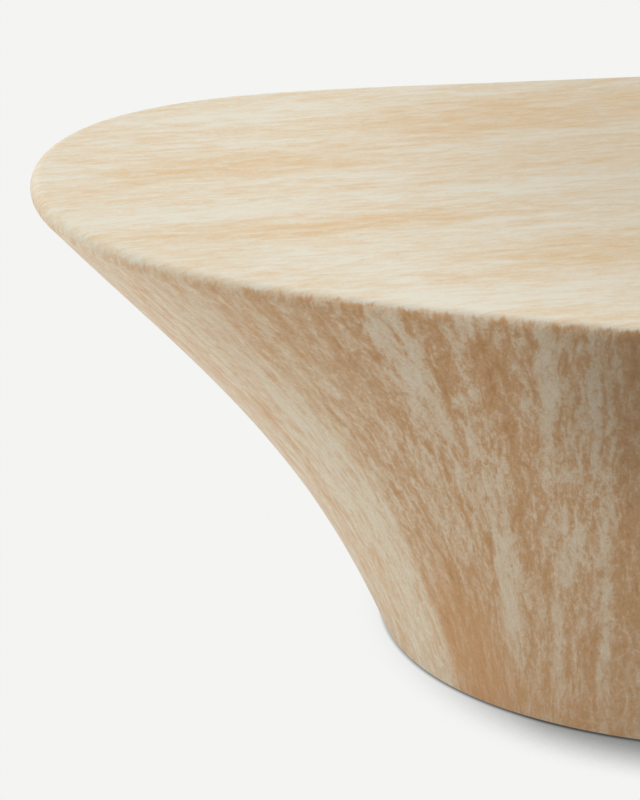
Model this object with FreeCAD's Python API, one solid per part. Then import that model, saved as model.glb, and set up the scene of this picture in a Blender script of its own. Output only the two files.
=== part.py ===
import FreeCAD, Part
import math
import os

# A low oval coffee table: a cast stone-effect top with a rounded rim on a flared, hollow cast pedestal,
# stiffened inside by a plywood frame and standing on four levelling feet.
# Frame: millimetres, +Z up, origin on the floor under the middle of the table, X along the table.

# Overall sizes
table_height = 360.0
floor_gap = 1.5

# Outline of the top, to the sharp corner of deck and wall before the rim is rounded.
# The oval is an ellipse with higher harmonics of its angle: the third fills the ends and draws the belly,
# the fifth straightens the flanks, and the two skews turn the ends a little the same way round.
top_length = 1205.0
top_width = 590.0
end_fullness = 60.0
belly_draw = 33.0
flank_draw = 10.0
skew_along = -15.0
skew_across = -6.0

# Outline of the pedestal at its foot, a slightly squared oval
base_length = 605.0
base_width = 548.0
base_end_square = -29.0
base_side_square = -18.5

# Flare of the wall from the foot's outline (share 0) to the top's outline (share 1):
# the shares at one, two and three quarters of the wall's control polygon
flare_low = 0.173
flare_middle = 0.323
flare_high = 0.729

# Cast skins
rim_radius = 9.0
foot_edge_radius = 1.5
shell_wall = 9.0
deck_thickness = 9.0
rim_depth = 24.0
core_margin = 15.0

# Plywood frame inside
glue_line = 0.4
ring_thickness = 18.0
upper_ring_width = 85.0
lower_ring_width = 64.0
board_thickness = 18.0
board_recess = 2.0
web_thickness = 18.0
cross_web_offset = 150.0
halving_clearance = 0.2
web_hole_height = 110.0
spine_hole_length = 190.0
spine_end_hole_length = 130.0
spine_end_hole_offset = 250.0
cross_hole_length = 120.0
cross_hole_offset = 115.0

# Fasteners
hole_clearance = 0.1
screw_diameter = 4.5
screw_head_diameter = 9.0
frame_screw_length = 50.0
board_screw_length = 32.0
board_screw_count = 6
bolt_diameter = 6.0
bolt_head_diameter = 11.0
bolt_head_height = 4.0
bolt_length = 30.0
bolt_count = 6
washer_diameter = 18.0
washer_thickness = 1.6
insert_diameter = 10.0
insert_length = 12.0

# Levelling feet
foot_angle = 45.0
foot_pocket_diameter = 42.0
foot_pocket_depth = 9.0
pad_diameter = 36.0
pad_edge_chamfer = 1.5
pad_floor = 3.0
collar_flats = 13.0
collar_height = 4.0
spigot_diameter = 6.0
stem_diameter = 8.0
stem_length = 46.0
stem_chamfer = 1.0
running_clearance = 0.05
stem_passage_clearance = 1.0
nut_barrel_diameter = 11.0
nut_barrel_length = 13.0
nut_flange_diameter = 24.0
nut_flange_thickness = 1.5

# Levels, worked up from the floor and down from the top
wall_height = table_height - floor_gap
seam_level = table_height - rim_depth
core_top = table_height - deck_thickness
board_bottom = floor_gap + board_recess
board_top = board_bottom + board_thickness
lower_ring_top = board_top + ring_thickness
upper_ring_bottom = seam_level - ring_thickness
pocket_ceiling = board_bottom + foot_pocket_depth
pad_height = pocket_ceiling - collar_height

# How finely the formulas are sampled
outline_points = 48
wall_sections = 8
halving_steps = 40
hexagon_sides = 6
overshoot = 5.0
reach = top_length + base_length


def oval(angle, half_length, half_width, third_along, third_across, fifth_across, skew_x, skew_y):
    """Point and tangent of an oval: cos and sin of the angle plus a few of its third and fifth harmonics."""
    first_along = half_length - third_along
    first_across = half_width + third_across - fifth_across
    x = first_along * math.cos(angle) + third_along * math.cos(3 * angle) + skew_x * math.sin(3 * angle)
    y = first_across * math.sin(angle) + third_across * math.sin(3 * angle)
    y += fifth_across * math.sin(5 * angle) + skew_y * math.cos(3 * angle)
    run_x = -first_along * math.sin(angle) - 3 * third_along * math.sin(3 * angle)
    run_x += 3 * skew_x * math.cos(3 * angle)
    run_y = first_across * math.cos(angle) + 3 * third_across * math.cos(3 * angle)
    run_y += 5 * fifth_across * math.cos(5 * angle) - 3 * skew_y * math.sin(3 * angle)
    return x, y, run_x, run_y


def top_oval(angle):
    half_length = top_length / 2
    half_width = top_width / 2
    return oval(angle, half_length, half_width, end_fullness, belly_draw, flank_draw, skew_along, skew_across)


def base_oval(angle):
    return oval(angle, base_length / 2, base_width / 2, base_end_square, base_side_square, 0, 0, 0)


def flare(level):
    """Share of the way from the foot's outline to the top's at a level, and how fast it grows per mm."""
    v = (level - floor_gap) / wall_height
    u = 1 - v
    share = 4 * u ** 3 * v * flare_low + 6 * u ** 2 * v ** 2 * flare_middle
    share += 4 * u * v ** 3 * flare_high + v ** 4
    growth = u ** 3 * flare_low + 3 * u ** 2 * v * (flare_middle - flare_low)
    growth += 3 * u * v ** 2 * (flare_high - flare_middle) + v ** 3 * (1 - flare_high)
    return share, 4 * growth / wall_height


def wall_point(angle, level, inset):
    """Point of the wall, moved in by an inset that is measured square to the leaning wall."""
    share, growth = flare(level)
    base_x, base_y, base_run_x, base_run_y = base_oval(angle)
    top_x, top_y, top_run_x, top_run_y = top_oval(angle)
    run_x = base_run_x + share * (top_run_x - base_run_x)
    run_y = base_run_y + share * (top_run_y - base_run_y)
    run = math.hypot(run_x, run_y)
    out_x = run_y / run
    out_y = -run_x / run
    lean = growth * ((top_x - base_x) * out_x + (top_y - base_y) * out_y)
    step = inset * math.hypot(1, lean)
    x = base_x + share * (top_x - base_x) - step * out_x
    y = base_y + share * (top_y - base_y) - step * out_y
    return FreeCAD.Vector(x, y, level)


def outline(level, inset):
    """Closed smooth outline of the wall at a level."""
    points = [wall_point(2 * math.pi * i / outline_points, level, inset) for i in range(outline_points)]
    curve = Part.BSplineCurve()
    curve.interpolate(Points=points, PeriodicFlag=True)
    return Part.Wire(curve.toShape())


def flared_form(inset, bottom, top):
    """Solid inside the flared wall between two levels."""
    levels = [bottom + (top - bottom) * i / (wall_sections - 1) for i in range(wall_sections)]
    return Part.makeLoft([outline(level, inset) for level in levels], True, False)


def plate(level, inset, thickness):
    """Flat board with the wall's outline at one level and square edges."""
    return Part.Face(outline(level, inset)).extrude(FreeCAD.Vector(0, 0, thickness))


def slab(bottom, top):
    """Block wider than the table between two levels, to cut or trim with."""
    corner = FreeCAD.Vector(-reach / 2, -reach / 2, bottom)
    return Part.makeBox(reach, reach, top - bottom, corner)


def cylinder(diameter, height, base):
    return Part.makeCylinder(diameter / 2, height, base)


def across_at(level, inset, x):
    """Half widths, front and back, of the wall's outline where it crosses a given x."""
    found = []
    for low, high in ((0.0, math.pi), (2 * math.pi, math.pi)):
        for _ in range(halving_steps):
            middle = (low + high) / 2
            if wall_point(middle, level, inset).x > x:
                low = middle
            else:
                high = middle
        found.append(wall_point(low, level, inset).y)
    return found


def along_axis(level, inset):
    """Where the wall's outline crosses the long axis, right and left."""
    found = []
    for low, high in ((-math.pi / 2, math.pi / 2), (3 * math.pi / 2, math.pi / 2)):
        for _ in range(halving_steps):
            middle = (low + high) / 2
            if wall_point(middle, level, inset).y < 0:
                low = middle
            else:
                high = middle
        found.append(wall_point(low, level, inset).x)
    return found


def ring_spots(level, inset):
    """Places of the frame screws: where the two kinds of web pass the middle of a ring."""
    spots = [(x, 0.0) for x in along_axis(level, inset)]
    for x in (-cross_web_offset, cross_web_offset):
        spots += [(x, y) for y in across_at(level, inset, x)]
    return spots


def countersunk_screw(length, grow):
    """Screw along +Z with its flat head at the origin, thickened by a clearance to make its hole."""
    shank_radius = screw_diameter / 2 + grow
    head_radius = screw_head_diameter / 2 + grow
    head = Part.makeCone(head_radius, shank_radius, head_radius - shank_radius)
    return head.fuse(Part.makeCylinder(shank_radius, length + grow)).removeSplitter()


def placed(shape, x, y, level, flip=False):
    """Copy of an upright shape at a spot, turned upside down if asked."""
    copy = shape.copy()
    if flip:
        copy.rotate(FreeCAD.Vector(0, 0, 0), FreeCAD.Vector(1, 0, 0), 180)
    copy.translate(FreeCAD.Vector(x, y, level))
    return copy


def rounded_slot(length, height, depth):
    """Prism along Y with a slot-shaped section in the upright plane, centred on the origin."""
    half = (length - height) / 2
    radius = height / 2
    right = FreeCAD.Vector(half, -depth / 2, 0)
    left = FreeCAD.Vector(-half, -depth / 2, 0)
    up = FreeCAD.Vector(0, 0, radius)
    side = FreeCAD.Vector(radius, 0, 0)
    edges = [
        Part.makeLine(left + up, right + up),
        Part.Arc(right + up, right + side, right - up).toShape(),
        Part.makeLine(right - up, left - up),
        Part.Arc(left - up, left - side, left + up).toShape(),
    ]
    return Part.Face(Part.Wire(edges)).extrude(FreeCAD.Vector(0, depth, 0))


# Fastener and foot places, shared by the pieces they hold
ring_inset = shell_wall + upper_ring_width / 2
lower_inset = shell_wall + lower_ring_width / 2
upper_spots = ring_spots(seam_level, ring_inset)
lower_spots = ring_spots(board_top, lower_inset)
bolt_angles = [2 * math.pi * (i + 0.5) / bolt_count for i in range(bolt_count)]
bolt_spots = [wall_point(angle, upper_ring_bottom, ring_inset) for angle in bolt_angles]
board_angles = [2 * math.pi * (i + 0.5) / board_screw_count for i in range(board_screw_count)]
board_spots = [wall_point(angle, board_bottom, lower_inset) for angle in board_angles]
foot_angles = [foot_angle, 180 - foot_angle, 180 + foot_angle, 360 - foot_angle]
foot_spots = [wall_point(math.radians(angle), board_bottom, lower_inset) for angle in foot_angles]


def table_form():
    """Whole outer form with its rim rounded and its lower edge eased all the way round."""
    form = flared_form(0, floor_gap, table_height)
    rim = [edge for edge in form.Edges if edge.BoundBox.ZMin > table_height - rim_radius / 2]
    form = form.makeFillet(rim_radius, rim)
    lower = [edge for edge in form.Edges if edge.BoundBox.ZMax < floor_gap + foot_edge_radius / 2]
    return form.makeFillet(foot_edge_radius, lower)


def top_shell(form):
    """Cast deck with the rounded rim, hollowed from below for the core board."""
    skin = form.common(slab(seam_level, table_height + overshoot))
    pocket = plate(seam_level, core_margin, core_top - seam_level)
    return skin.cut(pocket)


def pedestal_shell(form):
    """Cast flared skin of even thickness, open at both ends."""
    skin = form.common(slab(floor_gap - overshoot, seam_level))
    return skin.cut(flared_form(shell_wall, floor_gap - overshoot, seam_level + overshoot))


def top_core_board():
    """Plywood core in the top skin, bored for the threaded inserts."""
    board = plate(seam_level, core_margin + glue_line, core_top - glue_line - seam_level)
    for spot in bolt_spots:
        base = FreeCAD.Vector(spot.x, spot.y, seam_level)
        board = board.cut(cylinder(insert_diameter + 2 * hole_clearance, insert_length, base))
    return board


def frame_ring(bottom, width, inside):
    """Plywood ring with its outer edge bevelled to the wall and a square-cut opening."""
    ring = inside.common(slab(bottom, bottom + ring_thickness))
    return ring.cut(plate(bottom, shell_wall + width, ring_thickness))


def upper_frame_ring(inside):
    ring = frame_ring(upper_ring_bottom, upper_ring_width, inside)
    hole = countersunk_screw(frame_screw_length, hole_clearance)
    for x, y in upper_spots:
        ring = ring.cut(placed(hole, x, y, seam_level, flip=True))
    for spot in bolt_spots:
        ring = ring.cut(cylinder(bolt_diameter + 2 * hole_clearance, ring_thickness, spot))
    return ring


def lower_frame_ring(inside):
    ring = frame_ring(board_top, lower_ring_width, inside)
    hole = countersunk_screw(frame_screw_length, hole_clearance)
    for x, y in lower_spots:
        ring = ring.cut(placed(hole, x, y, board_top))
    board_hole = countersunk_screw(board_screw_length, hole_clearance)
    for spot in board_spots:
        ring = ring.cut(placed(board_hole, spot.x, spot.y, board_bottom))
    for spot in foot_spots:
        base = FreeCAD.Vector(spot.x, spot.y, board_top)
        ring = ring.cut(cylinder(nut_flange_diameter + 2 * hole_clearance, nut_flange_thickness, base))
        ring = ring.cut(cylinder(nut_barrel_diameter + 2 * hole_clearance, ring_thickness, base))
    return ring


def base_board(inside):
    """Board that closes the foot, with a pocket for each levelling pad."""
    board = inside.common(slab(board_bottom, board_top))
    hole = countersunk_screw(board_screw_length, hole_clearance)
    for spot in board_spots:
        board = board.cut(placed(hole, spot.x, spot.y, board_bottom))
    for spot in foot_spots:
        passage = stem_diameter + 2 * stem_passage_clearance
        board = board.cut(cylinder(foot_pocket_diameter, foot_pocket_depth, spot))
        board = board.cut(cylinder(passage, board_thickness, spot))
    return board


def web_blank(inside, x, length, width):
    """Upright board between the two rings, trimmed to the inside of the skin."""
    corner = FreeCAD.Vector(x - length / 2, -width / 2, lower_ring_top)
    board = Part.makeBox(length, width, upper_ring_bottom - lower_ring_top, corner)
    return board.common(inside)


def bored_for_screws(web):
    hole = countersunk_screw(frame_screw_length, hole_clearance)
    for x, y in upper_spots:
        web = web.cut(placed(hole, x, y, seam_level, flip=True))
    for x, y in lower_spots:
        web = web.cut(placed(hole, x, y, board_top))
    return web


web_middle = (lower_ring_top + upper_ring_bottom) / 2
slot_width = web_thickness + 2 * halving_clearance


def spine_web(inside):
    """Long web, slotted from above for the cross webs and lightened by three holes."""
    web = web_blank(inside, 0, reach, web_thickness)
    for x in (-cross_web_offset, cross_web_offset):
        corner = FreeCAD.Vector(x - slot_width / 2, -web_thickness, web_middle)
        web = web.cut(Part.makeBox(slot_width, 2 * web_thickness, upper_ring_bottom - web_middle, corner))
    middle_hole = rounded_slot(spine_hole_length, web_hole_height, 2 * web_thickness)
    web = web.cut(placed(middle_hole, 0, 0, web_middle))
    end_hole = rounded_slot(spine_end_hole_length, web_hole_height, 2 * web_thickness)
    for x in (-spine_end_hole_offset, spine_end_hole_offset):
        web = web.cut(placed(end_hole, x, 0, web_middle))
    return bored_for_screws(web)


def cross_web(inside, x):
    """Short web across the table, slotted from below to sit in the spine."""
    web = web_blank(inside, x, web_thickness, reach)
    corner = FreeCAD.Vector(x - web_thickness, -slot_width / 2, lower_ring_top)
    web = web.cut(Part.makeBox(2 * web_thickness, slot_width, web_middle - lower_ring_top, corner))
    hole = rounded_slot(cross_hole_length, web_hole_height, 2 * web_thickness)
    hole.rotate(FreeCAD.Vector(0, 0, 0), FreeCAD.Vector(0, 0, 1), 90)
    for y in (-cross_hole_offset, cross_hole_offset):
        web = web.cut(placed(hole, x, y, web_middle))
    return bored_for_screws(web)


def screw_group(spots, length, level, flip=False):
    screw = countersunk_screw(length, 0)
    return Part.makeCompound([placed(screw, x, y, level, flip) for x, y in spots])


def top_fixing_bolts():
    """Socket-head bolts that pull the top down from inside the pedestal."""
    head = cylinder(bolt_head_diameter, bolt_head_height, FreeCAD.Vector(0, 0, -bolt_head_height))
    bolt = head.fuse(Part.makeCylinder(bolt_diameter / 2, bolt_length)).removeSplitter()
    level = upper_ring_bottom - washer_thickness
    return Part.makeCompound([placed(bolt, spot.x, spot.y, level) for spot in bolt_spots])


def top_fixing_washers():
    washer = Part.makeCylinder(washer_diameter / 2, washer_thickness)
    washer = washer.cut(Part.makeCylinder(bolt_diameter / 2 + hole_clearance, washer_thickness))
    level = upper_ring_bottom - washer_thickness
    return Part.makeCompound([placed(washer, spot.x, spot.y, level) for spot in bolt_spots])


def top_inserts():
    insert = Part.makeCylinder(insert_diameter / 2, insert_length)
    insert = insert.cut(Part.makeCylinder(bolt_diameter / 2 + hole_clearance, insert_length))
    return Part.makeCompound([placed(insert, spot.x, spot.y, seam_level) for spot in bolt_spots])


def foot_nut():
    """Tee nut: its flange bears up on the lower ring, its barrel guides the stem."""
    flange = Part.makeCylinder(nut_flange_diameter / 2, nut_flange_thickness)
    barrel = Part.makeCylinder(nut_barrel_diameter / 2, nut_flange_thickness + nut_barrel_length)
    bore = Part.makeCylinder(stem_diameter / 2 + running_clearance, nut_flange_thickness + nut_barrel_length)
    return flange.fuse(barrel).removeSplitter().cut(bore)


def foot_stem():
    """Threaded stem with a hexagon collar for a spanner and a spigot that turns in the pad."""
    side_angle = 2 * math.pi / hexagon_sides
    corner_radius = collar_flats / 2 / math.cos(side_angle / 2)
    turns = [side_angle * i for i in range(hexagon_sides + 1)]
    corners = [FreeCAD.Vector(corner_radius * math.cos(a), corner_radius * math.sin(a)) for a in turns]
    collar = Part.Face(Part.makePolygon(corners)).extrude(FreeCAD.Vector(0, 0, collar_height))
    spigot_length = pad_height - pad_floor - running_clearance
    spigot = cylinder(spigot_diameter, spigot_length, FreeCAD.Vector(0, 0, -spigot_length))
    straight = stem_length - stem_chamfer
    stem = cylinder(stem_diameter, straight, FreeCAD.Vector(0, 0, collar_height))
    tip_base = FreeCAD.Vector(0, 0, collar_height + straight)
    tip = Part.makeCone(stem_diameter / 2, stem_diameter / 2 - stem_chamfer, stem_chamfer, tip_base)
    return collar.multiFuse([spigot, stem, tip]).removeSplitter()


def foot_pad():
    """Nylon pad with broken edges and a blind hole for the spigot."""
    pad = Part.makeCylinder(pad_diameter / 2, pad_height)
    rims = [edge for edge in pad.Edges if isinstance(edge.Curve, Part.Circle)]
    pad = pad.makeChamfer(pad_edge_chamfer, rims)
    hole_base = FreeCAD.Vector(0, 0, pad_floor)
    return pad.cut(cylinder(spigot_diameter + 2 * running_clearance, pad_height, hole_base))


def build():
    """Every piece by its name."""
    form = table_form()
    inside = flared_form(shell_wall + glue_line, floor_gap, seam_level)
    pieces = {
        "top_shell": top_shell(form),
        "pedestal_shell": pedestal_shell(form),
        "top_core_board": top_core_board(),
        "upper_frame_ring": upper_frame_ring(inside),
        "lower_frame_ring": lower_frame_ring(inside),
        "base_board": base_board(inside),
        "spine_web": spine_web(inside),
        "cross_web_left": cross_web(inside, -cross_web_offset),
        "cross_web_right": cross_web(inside, cross_web_offset),
        "top_fixing_bolts": top_fixing_bolts(),
        "top_fixing_washers": top_fixing_washers(),
        "top_inserts": top_inserts(),
        "upper_ring_screws": screw_group(upper_spots, frame_screw_length, seam_level, flip=True),
        "lower_ring_screws": screw_group(lower_spots, frame_screw_length, board_top),
        "base_board_screws": screw_group([(s.x, s.y) for s in board_spots], board_screw_length, board_bottom),
    }
    for number, spot in enumerate(foot_spots, start=1):
        pieces[f"foot_nut_{number}"] = placed(foot_nut(), spot.x, spot.y, board_top)
        pieces[f"foot_stem_{number}"] = placed(foot_stem(), spot.x, spot.y, pad_height)
        pieces[f"foot_pad_{number}"] = placed(foot_pad(), spot.x, spot.y, 0)
    return pieces


os.makedirs("parts", exist_ok=True)
for name, shape in build().items():
    shape.exportStep(f"parts/{name}.step")
    box = shape.BoundBox
    size = f"{box.XLength:.1f} x {box.YLength:.1f} x {box.ZLength:.1f} mm"
    print(f"{name}: {len(shape.Solids)} solids, valid {shape.isValid()}, {size}, {shape.Volume:.0f} mm3")
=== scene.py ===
# %% [markdown]
# # An oval coffee table on a flared pedestal
# The real table is a hollow casting with a stone-effect finish: a flat top whose rounded rim runs into one
# flared wall. Inside are a plywood frame and, underneath, four levelling feet. The construction comes as a
# fixed frame of solids in metres, so this lesson only adds what the eye sees: smooth skins, finishes, light.

# %% Load the frame
import bpy
import math
import numpy as np
from mathutils import Matrix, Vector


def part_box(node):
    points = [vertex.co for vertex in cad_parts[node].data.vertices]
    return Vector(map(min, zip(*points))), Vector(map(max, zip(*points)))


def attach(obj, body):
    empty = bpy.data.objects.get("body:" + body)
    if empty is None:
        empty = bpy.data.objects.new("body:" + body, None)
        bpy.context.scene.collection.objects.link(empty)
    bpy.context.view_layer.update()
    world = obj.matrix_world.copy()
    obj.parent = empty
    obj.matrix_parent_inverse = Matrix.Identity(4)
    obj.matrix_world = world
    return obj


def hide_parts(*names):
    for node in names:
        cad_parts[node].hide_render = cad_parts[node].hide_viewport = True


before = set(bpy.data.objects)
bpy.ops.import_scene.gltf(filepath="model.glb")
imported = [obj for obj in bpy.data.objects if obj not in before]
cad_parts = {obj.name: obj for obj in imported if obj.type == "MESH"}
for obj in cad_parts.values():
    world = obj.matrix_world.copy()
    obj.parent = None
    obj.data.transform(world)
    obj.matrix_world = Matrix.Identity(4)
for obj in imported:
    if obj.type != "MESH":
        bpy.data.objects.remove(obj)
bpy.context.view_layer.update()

# %% [markdown]
# ## The oval
# Seen from above the top is not an ellipse: its flanks are nearly straight and its two ends are full and a
# little turned, the same way round. A circle's cosine and sine with a few of their third and fifth harmonics
# give such an outline with seven numbers, and the outline stays smooth however finely it is sampled. A curve
# drawn by hand would need many more points for the same smoothness.

# %% Outlines of the top and of the foot
top_outline = dict(half_length=0.60205, half_width=0.2949, third_along=0.060, third_across=0.033,
                   fifth_across=0.010, skew_along=-0.015, skew_across=-0.006)
foot_outline = dict(half_length=0.3025, half_width=0.274, third_along=-0.029, third_across=-0.0185,
                    fifth_across=0.0, skew_along=0.0, skew_across=0.0)
meridians = 480
turn = np.arange(meridians) * 2 * np.pi / meridians


def oval(half_length, half_width, third_along, third_across, fifth_across, skew_along, skew_across):
    """Outline points as sums of cosines and sines of the turn t.

    x is cos t with a share of cos 3t and sin 3t, y is sin t with shares of sin 3t, sin 5t and cos 3t.
    """
    x = (half_length - third_along) * np.cos(turn) + third_along * np.cos(3 * turn)
    x = x + skew_along * np.sin(3 * turn)
    y = (half_width + third_across - fifth_across) * np.sin(turn) + third_across * np.sin(3 * turn)
    y = y + fifth_across * np.sin(5 * turn) + skew_across * np.cos(3 * turn)
    return np.stack([x, y], -1)


top_line = oval(**top_outline)
foot_line = oval(**foot_outline)
print("top outline spans", np.ptp(top_line, axis=0), "foot outline spans", np.ptp(foot_line, axis=0))

# %% [markdown]
# ## The flared wall
# The wall is a family of outlines: at the floor it has the foot's outline, at the top the deck's, and in
# between a share of the way from one to the other. The share follows a smooth curve that starts steep like a
# column and ends in a wide overhang. Working on whole arrays keeps every row of points one line of code.

# %% Wall points at any height and depth under the skin
floor_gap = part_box("pedestal_shell")[0].z
seam_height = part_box("pedestal_shell")[1].z
deck_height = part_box("top_shell")[1].z
flare_low = 0.173
flare_middle = 0.323
flare_high = 0.729


def flare(height):
    """Share of the way from foot to top, a quartic of three control shares, and its growth per metre."""
    v = (height - floor_gap) / (deck_height - floor_gap)
    u = 1 - v
    share = 4 * u ** 3 * v * flare_low + 6 * u ** 2 * v ** 2 * flare_middle + 4 * u * v ** 3 * flare_high
    growth = u ** 3 * flare_low + 3 * u ** 2 * v * (flare_middle - flare_low)
    growth = growth + 3 * u * v ** 2 * (flare_high - flare_middle) + v ** 3 * (1 - flare_high)
    return share + v ** 4, 4 * growth / (deck_height - floor_gap)


def outward(line):
    """Unit normals of a closed outline, from the difference of its neighbours."""
    run = np.roll(line, -1, axis=0) - np.roll(line, 1, axis=0)
    normal = np.stack([run[:, 1], -run[:, 0]], -1)
    return normal / np.linalg.norm(normal, axis=1, keepdims=True)


def wall_row(height, inset=0.0):
    """One row of wall points at a height, moved in by an inset measured square to the leaning wall."""
    share, growth = flare(height)
    line = foot_line + share * (top_line - foot_line)
    normal = outward(line)
    lean = growth * np.sum((top_line - foot_line) * normal, axis=1, keepdims=True)
    line = line - inset * np.sqrt(1 + lean ** 2) * normal
    return np.concatenate([line, np.full((meridians, 1), height)], axis=1)


print("wall from", round(floor_gap, 4), "to", round(deck_height, 4), "m, seam at", round(seam_height, 4))

# %% [markdown]
# ## The rounded rim
# Deck and wall meet in a soft edge of 9 mm radius. Because the wall leans by a different angle at each
# meridian, the arc's centre is worked out for every meridian: it sits one radius below the deck and as far
# in as the corner angle asks, so that the arc leaves the deck and meets the wall without a crease. A bevel
# modifier would round the edge too, but only as evenly as the mesh beside it allows.

# %% Rows of the rim, from the deck's edge round to the wall
rim_radius = 0.009
rim_rows = 14


def rim_arc():
    """Arc rows: centre plus radius times (cos, sin) of an angle from straight up to the wall's normal."""
    growth = flare(deck_height)[1]
    normal = outward(top_line)
    lean = np.arctan(growth * np.sum((top_line - foot_line) * normal, axis=1))
    corner = (np.pi / 2 - lean) / 2
    centre = top_line - normal * (rim_radius / np.tan(corner))[:, None]
    share = np.linspace(0, 1, rim_rows)[:, None]
    angle = np.pi / 2 - share * (np.pi / 2 + lean)
    flat = centre + rim_radius * np.cos(angle)[:, :, None] * normal
    height = deck_height - rim_radius + rim_radius * np.sin(angle)
    return np.concatenate([flat, height[:, :, None]], axis=2)


rim = rim_arc()
print("rim of", rim_rows, "rows ends between", rim[-1, :, 2].min(), "and", rim[-1, :, 2].max(), "m")

# %% [markdown]
# ## From rows to a mesh
# A skin is a grid: rows of points down the profile, columns around. Each row is closed onto its first point.
# A skin that starts and ends in the middle of a flat face is closed by fans of triangles to two pole points;
# one that comes back to its first row is closed like a tube. A point can also carry its place in the stone,
# how far around and how far down it lies on the drawn veins, which the finish reads later.

# %% Grid to mesh
crease_angle = math.radians(40)


def grid_faces(rows, columns, tube):
    """Quads between neighbouring rows, which face outwards when rows run from the top's middle down."""
    first = np.arange(rows if tube else rows - 1)[:, None] * columns + np.arange(columns)[None, :]
    beside = np.roll(first, -1, axis=1)
    below = (first + columns) % (rows * columns)
    below_beside = (beside + columns) % (rows * columns)
    return np.stack([first, below, below_beside, beside], -1).reshape(-1, 4).tolist()


def skin_mesh(name, rows, tube=False, stone_place=None):
    """Mesh object of a grid of rows, closed by two poles or as a tube, smooth but for real corners."""
    count, columns, _ = rows.shape
    points = rows.reshape(-1, 3)
    faces = grid_faces(count, columns, tube)
    if not tube:
        ring = np.arange(columns)
        beside = np.roll(ring, -1)
        last = (count - 1) * columns
        pole = np.full(columns, len(points))
        faces += np.stack([pole, ring, beside], -1).tolist()
        faces += np.stack([pole + 1, last + beside, last + ring], -1).tolist()
        points = np.concatenate([points, rows[:1].mean(axis=1), rows[-1:].mean(axis=1)])
    mesh = bpy.data.meshes.new(name)
    mesh.from_pydata(points.tolist(), [], faces)
    if stone_place is not None:
        place = stone_place.reshape(-1, 3)
        place = np.concatenate([place, np.zeros((len(points) - len(place), 3))])
        mesh.attributes.new("stone_place", "FLOAT_VECTOR", "POINT")
        mesh.attributes["stone_place"].data.foreach_set("vector", place.astype(np.float32).ravel())
    mesh.shade_smooth()
    mesh.set_sharp_from_angle(angle=crease_angle)
    mesh.validate()
    piece = bpy.data.objects.new(name, mesh)
    bpy.context.scene.collection.objects.link(piece)
    print(name, "has", len(mesh.vertices), "points and", len(mesh.polygons), "faces")
    return piece


# %% [markdown]
# ## Where the veins run
# On the wall the veins run down from the rim, but not straight down the meridians: on the flanks they drift
# as they fall, and at the ends and the belly they hang plumb. Two harmonics of the turn describe that
# drift. Around the table the veins are spread by true distance, so a vein is as wide on the belly as on the
# ends. The place is kept as a point on a cylinder, which has no seam where the turn starts again.

# %% Place of each point in the stone
vein_drift = math.radians(38)
drift_fourth = 0.58
drift_steps = 60
girth_height = 0.6 * deck_height
middle_line = wall_row(girth_height)[:, :2]
steps = np.linalg.norm(np.roll(middle_line, -1, axis=0) - middle_line, axis=1)
girth = steps.sum()
girth_radius = girth / (2 * np.pi)
turn_marks = np.append(turn, 2 * np.pi)
spread_marks = np.append(0, np.cumsum(steps)) / girth * 2 * np.pi


def spread(angle):
    """Turn of the outline to the angle by true distance around, for any number of full turns."""
    full = np.floor(angle / (2 * np.pi))
    return np.interp(angle - full * 2 * np.pi, turn_marks, spread_marks) + full * 2 * np.pi


def stone_places(rows, start=0.0):
    """Place in the stone: a circle of the wall's girth turned to the vein, and the length down the row.

    A vein that starts at turn v lies at v plus drift times depth, so v is found by repeated averaging.
    """
    drop = np.maximum(deck_height - rows[:, :, 2], 0)
    vein = np.broadcast_to(turn, drop.shape)
    for _ in range(drift_steps):
        drift = vein_drift * (np.sin(2 * vein) + drift_fourth * np.sin(4 * vein))
        vein = (vein + turn - drift * drop) / 2
    angle = spread(vein + 2 * np.pi)
    runs = np.linalg.norm(np.diff(rows, axis=0), axis=2)
    down = np.concatenate([np.zeros((1, meridians)), np.cumsum(runs, axis=0)]) + start
    return np.stack([girth_radius * np.cos(angle), girth_radius * np.sin(angle), down], -1)


print("girth of the wall", round(girth, 3), "m")

# %% [markdown]
# ## The top skin
# The top is a thin casting with a pocket underneath for its core board. Its profile starts in the middle of
# the deck, runs out to the rim, over the arc, down the wall to the seam, in along the seam's flat and up
# into the pocket. The rows are packed closer where the surface turns.

# %% Rows for flat faces and for the wall
deck_shares = np.array([0.08, 0.2, 0.35, 0.5, 0.65, 0.78, 0.88, 0.95, 0.985])


def between(first_row, last_row, shares):
    """Rows on the straight lines between two rows, at the given shares of the way."""
    return first_row + np.asarray(shares)[:, None, None] * (last_row - first_row)


def middle_of(row):
    """A row shrunk to its middle point."""
    return np.broadcast_to(row.mean(axis=0), row.shape)


def drop_rows(first_row, height, count):
    """Rows down the wall's own curve, from a row of uneven height to an even height."""
    shares = np.linspace(0, 1, count + 1)[1:, None]
    heights = first_row[None, :, 2] + shares * (height - first_row[None, :, 2])
    share = flare(heights)[0][:, :, None]
    line = foot_line + share * (top_line - foot_line)
    return np.concatenate([line, heights[:, :, None]], axis=2)


print("deck rows at", len(deck_shares), "shares of the way to the rim")

# %% Top skin
pocket_margin = 0.015
deck_skin = 0.009
brim_steps = 8

deck_rows = between(middle_of(rim[0]), rim[0], deck_shares)
brim_rows = drop_rows(rim[-1], seam_height, brim_steps)
pocket_mouth = wall_row(seam_height, pocket_margin)
pocket_roof = pocket_mouth + np.array([0, 0, deck_height - deck_skin - seam_height])
under_rows = between(pocket_roof, middle_of(pocket_roof), 1 - deck_shares[::-1])
outer_rows = np.concatenate([deck_rows, rim, brim_rows])
top_rows = np.concatenate([outer_rows, pocket_mouth[None], pocket_roof[None], under_rows])
deck_run = np.linalg.norm(rim[0] - deck_rows[0], axis=1)
top_skin = skin_mesh("top_skin", top_rows, stone_place=stone_places(top_rows, -deck_run))

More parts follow.
